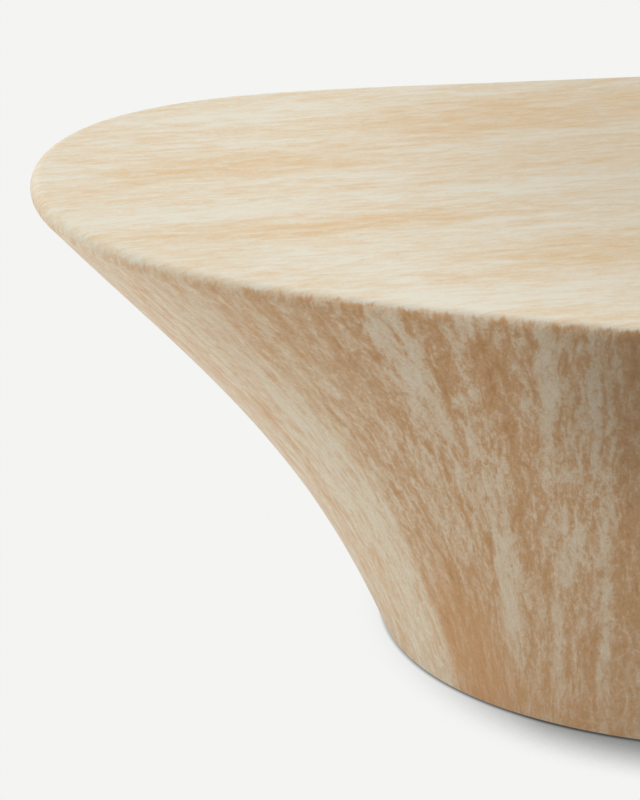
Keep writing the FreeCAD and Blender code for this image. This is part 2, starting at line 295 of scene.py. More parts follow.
# %% [markdown]
# ## The pedestal skin
# The pedestal is a flared tube of even thickness, open at both ends. Its profile goes down the outside,
# round a small eased edge at the floor, in along the lower face and up the inside, and closes on itself at
# the seam.

# %% Pedestal skin
shell_wall = 0.009
foot_edge = 0.0015
outside_steps = 57
inside_steps = 24
ease = np.linspace(0, np.pi / 2, 6)[1:]

outside_heights = np.linspace(seam_height, floor_gap + foot_edge, outside_steps)
outside_rows = [wall_row(height) for height in outside_heights]
eased_rows = [wall_row(floor_gap + foot_edge * (1 - np.sin(a)), foot_edge * (1 - np.cos(a))) for a in ease]
inside_rows = [wall_row(height, shell_wall) for height in np.linspace(floor_gap, seam_height, inside_steps)]
pedestal_rows = np.stack(outside_rows + eased_rows + inside_rows)
seam_run = np.linalg.norm(np.diff(outer_rows, axis=0), axis=2).sum(axis=0) - deck_run
pedestal_skin = skin_mesh("pedestal_skin", pedestal_rows, tube=True,
                          stone_place=stone_places(pedestal_rows, seam_run))

for piece, node_name in ((top_skin, "top_shell"), (pedestal_skin, "pedestal_shell")):
    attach(piece, "table")
    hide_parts(node_name)

# %% [markdown]
# ## Levelling feet
# Under the base board four feet screw in and out. On the real ones a zinc-plated stem with a machine thread
# carries a hexagon collar for a spanner, and its spigot turns in a nylon pad. Both are turned parts, so each
# is a profile carried round its axis. The radius may also depend on the angle: that gives the hexagon its
# flats and the thread its helix, because a helix is a groove whose height grows with the angle.

# %% Turned pieces
columns = 48
around_axis = np.arange(columns) * 2 * np.pi / columns


def turned_mesh(name, centre, heights, radius):
    """Piece round an upright axis: radius is an array of rows by columns at the heights, top row first."""
    x = centre[0] + radius * np.cos(around_axis)
    y = centre[1] + radius * np.sin(around_axis)
    z = np.broadcast_to(np.asarray(heights)[:, None], x.shape)
    return skin_mesh(name, np.stack([x, y, z], -1))


print("turned pieces have", columns, "columns")

# %% Profile of a threaded stem
thread_pitch = 0.00125
thread_depth = 0.00067
thread_steps = 8
stem_radius = 0.004
stem_chamfer = 0.001
collar_flats = 0.013
collar_height = 0.004
collar_chamfer = 0.0006
spigot_radius = 0.003
spigot_chamfer = 0.0005


def stem_profile(bottom, collar_top, top):
    """Heights and radii of a stem: a shank that dips by a helix, a chamfered hexagon and a plain spigot."""
    sector = np.pi / 3
    hexagon = collar_flats / 2 / np.cos((around_axis + sector / 2) % sector - sector / 2)
    rounded = np.minimum(hexagon, collar_flats / 2)
    shank = np.arange(top, collar_top, -thread_pitch / thread_steps)
    ridge = np.abs(((shank[:, None] / thread_pitch - around_axis / (2 * np.pi)) % 1) * 2 - 1)
    taper = np.minimum(top - shank + stem_radius - stem_chamfer, stem_radius)
    crest = np.minimum(stem_radius - thread_depth * ridge, taper[:, None])
    core = np.full(columns, stem_radius - thread_depth)
    spigot = np.full(columns, spigot_radius)
    collar_bottom = collar_top - collar_height
    lower_heights = [collar_top, collar_top, collar_top - collar_chamfer, collar_bottom + collar_chamfer,
                     collar_bottom, collar_bottom, bottom + spigot_chamfer, bottom]
    lower_radii = [core, rounded, hexagon, hexagon, rounded, spigot, spigot, spigot - spigot_chamfer]
    return np.concatenate([shank, lower_heights]), np.concatenate([crest, lower_radii])


print("thread of", thread_pitch * 1000, "mm pitch and", thread_depth * 1000, "mm depth")

# %% Profile of a nylon pad
pad_edge = 0.0015
pad_play = 0.00005
tread_margin = 0.005
tread_recess = 0.0004
tread_hole = 0.004


def pad_profile(bottom, top, radius_out, hole_floor):
    """Heights and radii of a pad: from its blind hole over a rounded edge, down and in under the tread."""
    quarter = np.linspace(0, np.pi / 2, 6)
    hole = spigot_radius + pad_play
    cosine = pad_edge * np.cos(quarter)
    sine = pad_edge * np.sin(quarter)
    flat = radius_out - pad_edge
    tread = bottom + tread_recess
    heights = [[hole_floor, top], top - pad_edge + cosine, bottom + pad_edge - sine, [tread, tread]]
    radii = [[hole, hole], flat + sine, flat + cosine, [radius_out - tread_margin, tread_hole]]
    radii = np.concatenate(radii)
    return np.concatenate(heights), np.broadcast_to(radii[:, None], (len(radii), columns))


print("pads with", pad_edge * 1000, "mm edges")

# %% Four stems and four pads
stems = []
pads = []
for number in range(1, 5):
    stem_low, stem_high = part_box(f"foot_stem_{number}")
    pad_low, pad_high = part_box(f"foot_pad_{number}")
    nut_low, nut_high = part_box(f"foot_nut_{number}")
    axis_place = (nut_low + nut_high) / 2
    pad_radius = (pad_high.x - pad_low.x) / 2
    stem = turned_mesh(f"threaded_stem_{number}", axis_place,
                       *stem_profile(stem_low.z, pad_high.z + collar_height, stem_high.z))
    pad = turned_mesh(f"levelling_pad_{number}", axis_place,
                      *pad_profile(pad_low.z, pad_high.z, pad_radius, stem_low.z - pad_play))
    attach(stem, f"stem_{number}")
    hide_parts(f"foot_stem_{number}")
    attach(pad, f"pad_{number}")
    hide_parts(f"foot_pad_{number}")
    stems.append(stem)
    pads.append(pad)

# %% [markdown]
# ## Tools for finishes
# Colours are picked as they look on a screen, so one function turns a hex value into the linear light that
# shaders work in. Another adds one shader node: its settings, its plain values and its links in one call.
# With these two, a finish reads as a list of what lies on top of what.

# %% Colour and node helpers


def colour(hex_text):
    """Screen hex value as linear RGBA."""
    screen = np.array([int(hex_text[i:i + 2], 16) for i in (1, 3, 5)]) / 255
    linear = np.where(screen <= 0.04045, screen / 12.92, ((screen + 0.055) / 1.055) ** 2.4)
    return (*linear.tolist(), 1.0)


def node(tree, kind, sockets=(), output=0, stops=(), **settings):
    """Adds a node and returns one output: sockets maps inputs to values or links, stops fill a ramp."""
    made = tree.nodes.new(kind)
    for setting, value in settings.items():
        setattr(made, setting, value)
    if stops:
        ramp = made.color_ramp
        while len(ramp.elements) < len(stops):
            ramp.elements.new(0.5)
        for element, (position, shade) in zip(ramp.elements, stops):
            element.position = position
            element.color = shade
    for key, value in dict(sockets).items():
        if isinstance(value, bpy.types.NodeSocket):
            tree.links.new(value, made.inputs[key])
        else:
            made.inputs[key].default_value = value
    return made.outputs[output] if len(made.outputs) else made


def new_finish(name):
    """Empty material and its node tree."""
    finish = bpy.data.materials.new(name)
    finish.use_nodes = True
    finish.node_tree.nodes.clear()
    return finish, finish.node_tree


def dress(pieces, finish):
    """Puts one finish on all material slots of the pieces."""
    for piece in pieces:
        piece.data.materials.clear()
        piece.data.materials.append(finish)


print("mid grey in linear light:", colour("#808080"))

# %% Noise helpers
noise_low = 0.3
noise_high = 0.7
stain_core = 0.35
stain_edge = 1.35


def stretched_noise(tree, place, across, along, along_axis, detail, roughness=0.55, distortion=0.0,
                    seed=0.0):
    """Noise with spots across wide and along long, in millimetres; the seed moves it elsewhere."""
    size = [1000 / across] * 3
    size[along_axis] = 1000 / along
    shift = (seed, 2 * seed, 3 * seed)
    moved = node(tree, "ShaderNodeMapping", {"Vector": place, "Location": shift, "Scale": size})
    return node(tree, "ShaderNodeTexNoise", {"Vector": moved, "Scale": 1.0, "Detail": detail,
                                             "Roughness": roughness, "Distortion": distortion})


def weighed(tree, base, layers):
    """Base value plus each layer's distance from its middle times a weight."""
    total = base
    for layer, weight in layers:
        offset = node(tree, "ShaderNodeMath", {0: layer, 1: 0.5}, operation="SUBTRACT")
        total = node(tree, "ShaderNodeMath", {0: offset, 1: weight, 2: total}, operation="MULTIPLY_ADD")
    return total


def grain(tree, place, along_axis, base, layers):
    """Sum of noises: a layer gives across, along, detail, roughness, distortion, seed and weight."""
    noises = [(stretched_noise(tree, place, *sizes[:2], along_axis, *sizes[2:]), weight)
              for *sizes, weight in layers]
    return weighed(tree, base, noises)


def with_stains_and_shade(tree, value, place, stains):
    """Value with soft oval stains and patches of painted shade added: each has its middle and half sizes in
    metres and an amount.
    """
    for middle, size, amount in stains:
        scale = (1 / size[0], 1 / size[1], 0)
        shift = (-middle[0] * scale[0], -middle[1] * scale[1], 0)
        oval_place = node(tree, "ShaderNodeMapping", {"Vector": place, "Location": shift, "Scale": scale})
        reach = node(tree, "ShaderNodeVectorMath", {0: oval_place}, output=1, operation="LENGTH")
        patch = node(tree, "ShaderNodeMapRange", {0: reach, 1: stain_edge, 2: stain_core},
                     interpolation_type="SMOOTHSTEP")
        value = node(tree, "ShaderNodeMath", {0: patch, 1: amount, 2: value}, operation="MULTIPLY_ADD")
    return value


print("noise sizes are given across and along the grain, in millimetres")

# %% [markdown]
# ## Honed travertine effect
# The skin is a cast mineral composite with a travertine-effect finish, honed to a silky satin: cream lime
# with tan, mineral-stained veins, soft clouds inside the veins and a few fine pits. On the deck the veins
# run along the table at a slant, as feathered streaks over soft broad bands. A wood-like wave pattern would
# be too even, so several noises are laid over each other, each stretched along the vein by its own measure.

# %% Travertine of the deck
deck_cream = colour("#E6DFCB")
deck_peach = colour("#DFBD8B")
deck_ramp = [(0.12, deck_cream), (0.95, deck_peach)]
deck_vein_angle = math.radians(14.5)
deck_base = 0.42
deck_layers = [
    (44, 220, 2, 0.50, 0.4, 1.3, 0.70),
    (11, 60, 5, 0.72, 0.5, 4.1, 1.60),
    (6, 24, 5, 0.72, 0.5, 7.7, 1.55),
    (2.8, 3.2, 2, 0.55, 0.0, 2.9, 0.45),
]
deck_stains = [(-390, 132, 130, 26, 0.25), (-300, 45, 330, 18, -0.2), (-310, -8, 130, 20, 0.18),
               (-150, -98, 120, 26, 0.25), (-270, -170, 220, 32, -0.15), (-80, 215, 230, 45, 0.3),
               (-120, 60, 200, 130, 0.08), (-380, 262, 110, 24, -0.2)]
# Painted shade: a broad darkening across the deck's middle, where the light from the left falls off.
deck_painted_shade = colour("#7F6F58")
deck_painted_shade_beds = [(50, 60, 330, 420, 0.26)]


def on_deck(stains):
    """Stains and painted shade given in millimetres along and across the deck's veins, as places in metres.
    """
    return [((along / 1000, across / 1000), (length / 1000, width / 1000), amount)
            for along, across, length, width, amount in stains]


def deck_pattern(tree, object_place):
    """Deck colour: streaks along the slanted veins, broad stains over them and painted shade across the
    middle.
    """
    place = node(tree, "ShaderNodeMapping", {"Vector": object_place, "Rotation": (0, 0, -deck_vein_angle)})
    value = with_stains_and_shade(tree, grain(tree, place, 0, deck_base, deck_layers), place, on_deck(deck_stains))
    shade = node(tree, "ShaderNodeValToRGB", {0: value}, stops=deck_ramp)
    # Painted shade darkens the deck across its middle.
    tint_share = with_stains_and_shade(tree, 0.0, place, on_deck(deck_painted_shade_beds))
    return node(tree, "ShaderNodeMix", {0: tint_share, 6: shade, 7: deck_painted_shade}, output=2, data_type="RGBA")


print("deck pattern of", len(deck_layers), "layers and", len(deck_stains), "stains")

# %% [markdown]
# On the wall the veins hang down and fan with the flare. Two kinds of stone alternate around the table and
# meet in a sharp vein: at the ends soft streaks like the deck's, on the long sides a mottled stone with
# ragged clouds strung along the veins. Both read the place in the stone that each point carries. A stain is
# given by its vein's angle, its depth, its two half sizes and how much darker it makes the stone, or with
# a minus how much lighter.

# %% Travertine of the wall
wall_cream = colour("#EEDEC2")
wall_peach = colour("#DDB17E")
wall_lime = colour("#ECDCC2")
wall_sand = colour("#E6CDAC")
wall_tan = colour("#D6AA7B")
wall_deep = colour("#C6925C")
wall_rust = colour("#E0A062")
# Painted shade: dark brown for the front wall just below the rim, which turns away from the light.
wall_painted_shade = colour("#6B563F")
end_ramp = [(0.15, wall_cream), (0.85, wall_peach)]
side_ramp = [(0.0, wall_lime), (0.34, wall_sand), (0.63, wall_tan), (1.0, wall_deep)]
end_base = 0.47
side_base = 0.55
end_layers = [
    (40, 200, 2, 0.50, 0.0, 3.7, 0.30),
    (11, 60, 5, 0.70, 0.5, 5.9, 1.45),
    (6, 13, 3, 0.60, 0.5, 8.3, 1.50),
    (2.8, 2.6, 2, 0.55, 0.0, 6.1, 0.55),
]
side_layers = [
    (24, 170, 2, 0.50, 0.0, 13.7, 0.75),
    (10, 26, 3, 0.55, 0.8, 15.1, 1.20),
    (6, 8.5, 3, 0.60, 0.8, 18.3, 0.95),
    (2.3, 2.8, 2, 0.55, 0.0, 16.1, 0.45),
]
end_stains = [(207.4, 230, 30, 200, -0.2)]
side_stains = [(229.7, 45, 11, 70, -0.22), (236.7, 12, 7, 24, -0.22), (231.6, 140, 15, 45, -0.2),
               (245.1, 55, 9, 90, -0.3), (251, 50, 5, 90, -0.26), (236.3, 250, 20, 80, -0.28),
               (248.2, 200, 24, 40, -0.24), (253, 220, 7, 150, -0.26), (245.2, 305, 11, 60, -0.26),
               (238.7, 48, 16, 34, 0.16), (221.6, 300, 60, 80, 0.12), (256.8, 80, 26, 150, 0.15),
               (217.7, 320, 34, 90, 0.08), (234, 131, 32, 60, -0.14), (217, 245, 16, 42, -0.12)]
rust_beds = [(222, 335, 70, 90, 0.22), (240, 395, 230, 75, 0.22)]
# Painted shade below the rim on the front wall, and the same on the back.
painted_shade_beds = [(264, 45, 135, 120, 0.4)]


def on_wall_stains_and_shade(stains):
    """Stains and painted shade by vein angle in degrees and millimetres down, on the unrolled wall, front
    and back.
    """
    return [((float(spread(math.radians(angle - half))) * girth_radius, down / 1000),
             (width / 1000, length / 1000), amount)
            for angle, down, width, length, amount in stains for half in (0, 180)]


print("wall stone of", len(end_layers) + len(side_layers), "layers and", len(side_stains), "side stains")

# %% Sharp vein between the two stones of the wall
vein_edges = [33.5, 146.5, 213.5, 326.5]
edge_fuzz = 0.0008
fray_amount = 0.018
tear_fuzz = 0.035
tear_amount = 0.35
tear_start = 0.06
tear_end = 0.19


def edge_ramp(tree, around, fuzz):
    """1 on the long sides between the vein edges and 0 at the ends; the fuzz is a share of a turn."""
    share = node(tree, "ShaderNodeMath", {0: around, 1: 1 / (2 * math.pi)}, operation="MULTIPLY")
    stops = [(0.0, (0, 0, 0, 1))]
    for count, edge in enumerate(vein_edges):
        place = float(spread(math.radians(edge))) / (2 * math.pi)
        before = float(count % 2)
        stops.append((place - fuzz, (before, before, before, 1)))
        stops.append((place + fuzz, (1 - before, 1 - before, 1 - before, 1)))
    return node(tree, "ShaderNodeValToRGB", {0: share}, stops=stops)


def side_share(tree, stone_place, down, around):
    """Share of the long sides' stone: its borders are sharp low down and torn into streaks near the rim."""
    fray = stretched_noise(tree, stone_place, 2.5, 9, 2, 3, seed=21.0)
    tear = stretched_noise(tree, stone_place, 6, 34, 2, 4, 0.65, 0.4, seed=23.0)
    sharp = edge_ramp(tree, weighed(tree, around, [(fray, fray_amount)]), edge_fuzz)
    torn = edge_ramp(tree, weighed(tree, around, [(tear, tear_amount)]), tear_fuzz)
    depth = node(tree, "ShaderNodeMapRange", {0: down, 1: tear_start, 2: tear_end},
                 interpolation_type="SMOOTHSTEP")
    return node(tree, "ShaderNodeMix", {0: depth, 6: torn, 7: sharp}, output=2, data_type="RGBA")


print("vein edges at", vein_edges, "degrees")

# %% Pattern of the wall
waver_amount = 0.05
calm_start = 0.15
calm_end = 0.33
calm_share = 0.35


def wall_pattern(tree, stone_place, down, around):
    """Wall colour: end streaks and side clouds, each with its stains, joined along the vein edges."""
    waver = stretched_noise(tree, stone_place, 14, 30, 2, 3, seed=11.3)
    waving = weighed(tree, around, [(waver, waver_amount)])
    distance = node(tree, "ShaderNodeMath", {0: waving, 1: girth_radius}, operation="MULTIPLY")
    unrolled = node(tree, "ShaderNodeCombineXYZ", {0: distance, 1: down})
    end_value = grain(tree, stone_place, 2, end_base, end_layers)
    end_value = with_stains_and_shade(tree, end_value, unrolled, on_wall_stains_and_shade(end_stains))
    end_shade = node(tree, "ShaderNodeValToRGB", {0: end_value}, stops=end_ramp)
    side_value = grain(tree, stone_place, 2, side_base, side_layers)
    side_value = with_stains_and_shade(tree, side_value, unrolled, on_wall_stains_and_shade(side_stains))
    calm = node(tree, "ShaderNodeMapRange", {0: down, 1: calm_start, 2: calm_end, 3: 0.0, 4: calm_share})
    side_value = node(tree, "ShaderNodeMix", {0: calm, 2: side_value, 3: side_base})
    side_shade = node(tree, "ShaderNodeValToRGB", {0: side_value}, stops=side_ramp)
    # Rust beds warm the low wall; the second set is painted shade below the rim at front and back.
    for rust_and_shade_colour, rust_and_shade_beds in ((wall_rust, rust_beds), (wall_painted_shade, painted_shade_beds)):
        tint_share = with_stains_and_shade(tree, 0.0, unrolled, on_wall_stains_and_shade(rust_and_shade_beds))
        side_shade = node(tree, "ShaderNodeMix", {0: tint_share, 6: side_shade, 7: rust_and_shade_colour}, output=2,
                          data_type="RGBA")
    share = side_share(tree, stone_place, down, around)
    return node(tree, "ShaderNodeMix", {0: share, 6: end_shade, 7: side_shade}, output=2, data_type="RGBA")


print("wall pattern calms down from", calm_start, "to", calm_end, "m below the rim")

# %% [markdown]
# Deck and wall pattern meet along the rim in an uneven fringe, as they do where a mould's two faces join.
# A few fine pits are the last thing that tells travertine from sandstone. The honed surface is satin: its
# roughness varies a little with the grit, and the pits dip into it.

# %% Pits
pit_spacing = 13
pit_length = 15
pit_chance = 0.07
pit_core = 0.04
pit_edge = 0.12


def pits(tree, stone_place):
    """1 inside a few small pits: the cores of the cells of a Voronoi pattern that chance picks."""
    size = (1000 / pit_spacing, 1000 / pit_spacing, 1000 / pit_length)
    cells = node(tree, "ShaderNodeMapping", {"Vector": stone_place, "Scale": size})
    distance = node(tree, "ShaderNodeTexVoronoi", {"Vector": cells, "Scale": 1.0})
    chance = node(tree, "ShaderNodeTexVoronoi", {"Vector": cells, "Scale": 1.0}, output=1)
    chosen = node(tree, "ShaderNodeMath", {0: chance, 1: 1 - pit_chance}, operation="GREATER_THAN")
    hollow = node(tree, "ShaderNodeMapRange", {0: distance, 1: pit_core, 2: pit_edge, 3: 1.0, 4: 0.0})
    return node(tree, "ShaderNodeMath", {0: hollow, 1: chosen}, operation="MULTIPLY")


print("pits in", pit_chance, "of the cells,", pit_spacing, "mm apart")

# %% Honed travertine composite
fringe_start = 0.0065
fringe_end = 0.0115
fringe_amount = 0.016
fringe_lift = 0.006
speck_dark = 0.92
speck_light = 1.08
pit_brown = colour("#7A5B3C")
pit_stain = 0.7
pit_depth = 6.0
stone_gloss = (0.38, 0.46)


def rim_fringe(tree, stone_place, down, around):
    """0 on the deck and 1 on the wall: the length down, made ragged, and lifted on the long sides."""
    fringe = stretched_noise(tree, stone_place, 5, 26, 2, 4, 0.65, seed=9.2)
    sides = edge_ramp(tree, around, tear_fuzz)
    ragged = weighed(tree, down, [(fringe, fringe_amount), (sides, fringe_lift)])
    return node(tree, "ShaderNodeMapRange", {0: ragged, 1: fringe_start, 2: fringe_end},
                interpolation_type="SMOOTHSTEP")


def travertine():
    """Cream and tan cast stone, honed: a satin surface with streaks, clouds and pits."""
    finish, tree = new_finish("honed travertine composite")
    stone_place = node(tree, "ShaderNodeAttribute", attribute_name="stone_place", output=1)
    object_place = node(tree, "ShaderNodeTexCoord", output=3)
    parts = node(tree, "ShaderNodeSeparateXYZ", {0: stone_place}).node.outputs
    opposite = [node(tree, "ShaderNodeMath", {0: parts[i], 1: -1.0}, operation="MULTIPLY") for i in (0, 1)]
    around = node(tree, "ShaderNodeMath", {0: opposite[1], 1: opposite[0]}, operation="ARCTAN2")
    around = node(tree, "ShaderNodeMath", {0: around, 1: math.pi}, operation="ADD")
    deck_shade = deck_pattern(tree, object_place)
    wall_shade = wall_pattern(tree, stone_place, parts[2], around)
    on_wall = rim_fringe(tree, stone_place, parts[2], around)
    shade = node(tree, "ShaderNodeMix", {0: on_wall, 6: deck_shade, 7: wall_shade}, output=2,
                 data_type="RGBA")
    speck = stretched_noise(tree, stone_place, 1.8, 2.2, 2, 2, seed=31.0)
    speck = node(tree, "ShaderNodeMapRange",
                 {0: speck, 1: noise_low, 2: noise_high, 3: speck_dark, 4: speck_light}, clamp=False)
    shade = node(tree, "ShaderNodeMix", {0: on_wall, 6: shade, 7: speck}, output=2, data_type="RGBA",
                 blend_type="MULTIPLY")
    pit = pits(tree, stone_place)
    stain = node(tree, "ShaderNodeMath", {0: pit, 1: pit_stain}, operation="MULTIPLY")
    shade = node(tree, "ShaderNodeMix", {0: stain, 6: shade, 7: pit_brown}, output=2, data_type="RGBA")
    grit = stretched_noise(tree, object_place, 1.6, 1.6, 0, 2)
    relief = node(tree, "ShaderNodeMath", {0: pit, 1: -pit_depth, 2: grit}, operation="MULTIPLY_ADD")
    bump = node(tree, "ShaderNodeBump", {"Height": relief, "Strength": 0.12, "Distance": 0.0002})
    gloss = node(tree, "ShaderNodeMapRange",
                 {0: grit, 1: noise_low, 2: noise_high, 3: stone_gloss[0], 4: stone_gloss[1]})
    surface = node(tree, "ShaderNodeBsdfPrincipled",
                   {"Base Color": shade, "Roughness": gloss, "Normal": bump, "IOR": 1.5})
    node(tree, "ShaderNodeOutputMaterial", {"Surface": surface})
    return finish


stone = travertine()
dress([top_skin, pedestal_skin], stone)
print("travertine with", len(stone.node_tree.nodes), "nodes")

# %% [markdown]
# ## Birch plywood
# The frame inside is birch plywood: thin sheets of veneer glued with the grain crossing from sheet to sheet.
# On a face the eye sees one pale sheet with fine grain; on an edge it sees the sheets as light and dark
# stripes with thin glue lines. Counting sheets through the board's thickness gives both from one rule, since
# a face lies wholly in the first sheet. Each board knows its own thin direction from its box.

# %% Birch plywood boards
birch_pale = colour("#DDBE90")
birch_figure = colour("#C9A271")
birch_end = colour("#B38A5B")
glue_brown = colour("#6E4E33")
sheet_thickness = 1.4
sheet_blend = 0.02
glue_share = 0.06
birch_base = 0.4
pore_base = 0.5
birch_gloss = (0.62, 0.52)
face_layers = [(9, 160, 3, 0.6, 0.6, 2.0, 1.2), (1.2, 26, 2, 0.6, 0.0, 5.0, 0.9)]
pore_layers = [(1.0, 1.0, 3, 0.7, 0.0, 7.0, 1.6)]
boards = ["top_core_board", "upper_frame_ring", "lower_frame_ring", "base_board", "spine_web",
          "cross_web_left", "cross_web_right"]


def birch_plywood(board):
    """Sheets counted through the thin side: even ones show long grain, odd ones end grain, with glue."""
    low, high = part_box(board)
    thin = int(np.argmin(high - low))
    long = int(np.argmax(high - low))
    sheets = round((high[thin] - low[thin]) * 1000 / sheet_thickness) // 2 * 2 + 1
    finish, tree = new_finish(f"birch plywood of the {board}")
    place = node(tree, "ShaderNodeTexCoord", output=3)
    scale = sheets / (high[thin] - low[thin])
    counted = node(tree, "ShaderNodeMapping",
                   {"Vector": place, "Location": -low * scale, "Scale": [scale] * 3})
    depth = node(tree, "ShaderNodeSeparateXYZ", {0: counted}, output=thin)
    pair = node(tree, "ShaderNodeMath", {0: depth, 1: 2.0}, operation="FLOORED_MODULO")
    crossed = node(tree, "ShaderNodeMapRange", {0: pair, 1: 1.0, 2: 1.0 + sheet_blend})
    nearest = node(tree, "ShaderNodeMath", {0: depth, 1: 0.5}, operation="PINGPONG")
    inner = node(tree, "ShaderNodeMath", {0: depth, 1: sheets / 2}, operation="PINGPONG")
    glue = node(tree, "ShaderNodeMapRange", {0: nearest, 1: glue_share, 2: 0.0})
    covered = node(tree, "ShaderNodeMapRange", {0: inner, 1: 0.4, 2: 0.6})
    glue = node(tree, "ShaderNodeMath", {0: glue, 1: covered}, operation="MULTIPLY")
    figure = grain(tree, place, long, birch_base, face_layers)
    pores = grain(tree, place, thin, pore_base, pore_layers)
    face = node(tree, "ShaderNodeMix", {0: figure, 6: birch_pale, 7: birch_figure}, output=2,
                data_type="RGBA")
    end = node(tree, "ShaderNodeMix", {0: pores, 6: birch_figure, 7: birch_end}, output=2, data_type="RGBA")
    shade = node(tree, "ShaderNodeMix", {0: crossed, 6: face, 7: end}, output=2, data_type="RGBA")
    shade = node(tree, "ShaderNodeMix", {0: glue, 6: shade, 7: glue_brown}, output=2, data_type="RGBA")
    bump = node(tree, "ShaderNodeBump", {"Height": figure, "Strength": 0.2, "Distance": 0.0002})
    gloss = node(tree, "ShaderNodeMapRange", {0: figure, 3: birch_gloss[0], 4: birch_gloss[1]})
    surface = node(tree, "ShaderNodeBsdfPrincipled",
                   {"Base Color": shade, "Roughness": gloss, "Normal": bump, "IOR": 1.5})
    node(tree, "ShaderNodeOutputMaterial", {"Surface": surface})
    print(board, "has", sheets, "sheets across axis", "xyz"[thin])
    return finish


for board in boards:
    dress([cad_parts[board]], birch_plywood(board))

# %% [markdown]
# ## Zinc-plated steel
# Bolts, washers, inserts, screws, tee nuts and stems are bright zinc-plated steel. The plating gives a cool
# grey metal with faint cloudy patches and tiny crystals, smoother than bare steel but not a mirror. Colour
# and roughness both follow the same cloud, because a thicker coat is both paler and duller.

# %% Zinc-plated hardware
zinc_light = colour("#C6CBD1")
zinc_dark = colour("#A2A8AF")
zinc_layers = [(6, 6, 3, 0.6, 0.3, 1.0, 1.4), (0.8, 0.8, 2, 0.6, 0.0, 3.0, 0.6)]
zinc_base = 0.5
zinc_gloss = (0.24, 0.42)
hardware = ["top_fixing_bolts", "top_fixing_washers", "top_inserts", "upper_ring_screws",
            "lower_ring_screws", "base_board_screws"]
hardware += [f"foot_nut_{number}" for number in range(1, 5)]


def zinc_plating():
    """Metal whose grey and roughness drift with soft clouds and fine crystals."""
    finish, tree = new_finish("zinc-plated steel")
    place = node(tree, "ShaderNodeTexCoord", output=3)
    cloud = grain(tree, place, 2, zinc_base, zinc_layers)
    shade = node(tree, "ShaderNodeMix", {0: cloud, 6: zinc_light, 7: zinc_dark}, output=2, data_type="RGBA")
    gloss = node(tree, "ShaderNodeMapRange", {0: cloud, 3: zinc_gloss[0], 4: zinc_gloss[1]})
    bump = node(tree, "ShaderNodeBump", {"Height": cloud, "Strength": 0.1, "Distance": 0.0001})
    surface = node(tree, "ShaderNodeBsdfPrincipled",
                   {"Base Color": shade, "Roughness": gloss, "Normal": bump, "Metallic": 1.0})
    node(tree, "ShaderNodeOutputMaterial", {"Surface": surface})
    return finish


zinc = zinc_plating()
dress([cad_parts[name] for name in hardware] + stems, zinc)
print("zinc on", len(hardware), "nodes and", len(stems), "stems")

# %% [markdown]
# ## Moulded black nylon
# The pads are injection-moulded nylon. A mould that was spark-eroded leaves a fine, even, matte grain, and
# nylon is never quite black: it keeps a warm grey bloom where it has been handled.

# %% Nylon pads
nylon_black = colour("#1A1A1B")
nylon_bloom = colour("#2C2B2A")
bloom_layers = [(8, 8, 3, 0.6, 0.3, 1.0, 1.5)]
bloom_base = 0.4
nylon_gloss = (0.45, 0.6)


def moulded_nylon():
    """Near-black plastic with a grey bloom in patches and a fine moulded grain."""
    finish, tree = new_finish("moulded black nylon")
    place = node(tree, "ShaderNodeTexCoord", output=3)
    bloom = grain(tree, place, 2, bloom_base, bloom_layers)
    moulded = stretched_noise(tree, place, 0.5, 0.5, 2, 2, seed=4.0)
    shade = node(tree, "ShaderNodeMix", {0: bloom, 6: nylon_black, 7: nylon_bloom}, output=2,
                 data_type="RGBA")
    gloss = node(tree, "ShaderNodeMapRange", {0: bloom, 3: nylon_gloss[0], 4: nylon_gloss[1]})
    bump = node(tree, "ShaderNodeBump", {"Height": moulded, "Strength": 0.25, "Distance": 0.0001})
    surface = node(tree, "ShaderNodeBsdfPrincipled",
                   {"Base Color": shade, "Roughness": gloss, "Normal": bump, "IOR": 1.53})
    node(tree, "ShaderNodeOutputMaterial", {"Surface": surface})
    return finish


dress(pads, moulded_nylon())
print("nylon on", len(pads), "pads")

# %% [markdown]
# ## A pale studio floor
# The table stands on a seamless pale sheet. Seen directly, the sheet has one even tone and a soft shadow
# that grows towards the table on the side away from the light: ambient occlusion, measured towards the lamp
# side, gives that shadow with no lamp to place. It starts beside the foot's left end, is deepest in front
# and pales towards the right. A second, short occlusion draws the dark line of the gap under the pedestal.
# For light that bounces, the same sheet glows softly and more weakly under the table and to the right, as a
# lit floor does. From below it is clear, so the feet can be looked at.

# %% Floor sheet
floor_half = 40


def floor_sheet():
    """Large square on the ground, facing up."""
    corners = [(-floor_half, -floor_half, 0), (floor_half, -floor_half, 0), (floor_half, floor_half, 0),
               (-floor_half, floor_half, 0)]
    mesh = bpy.data.meshes.new("floor")
    mesh.from_pydata(corners, [], [(0, 1, 2, 3)])
    piece = bpy.data.objects.new("floor", mesh)
    bpy.context.scene.collection.objects.link(piece)
    return piece


floor = floor_sheet()
print("floor of", 2 * floor_half, "m")

# %% Shadow on the floor
lamp_side = (-0.98, -0.17, 0.1)
shadow_reach = 0.07
shadow_shut = 0.5
shadow_power = 4.0
shadow_deepest = 0.22
shadow_blend = 0.2
shadow_edge = -0.325
shadow_full = -0.165
shadow_paling = 0.0
shadow_pale = 0.36
pale_share = 0.4
gap_reach = 0.005
gap_shut = 0.25
gap_open = 0.75
gap_darkest = 0.35


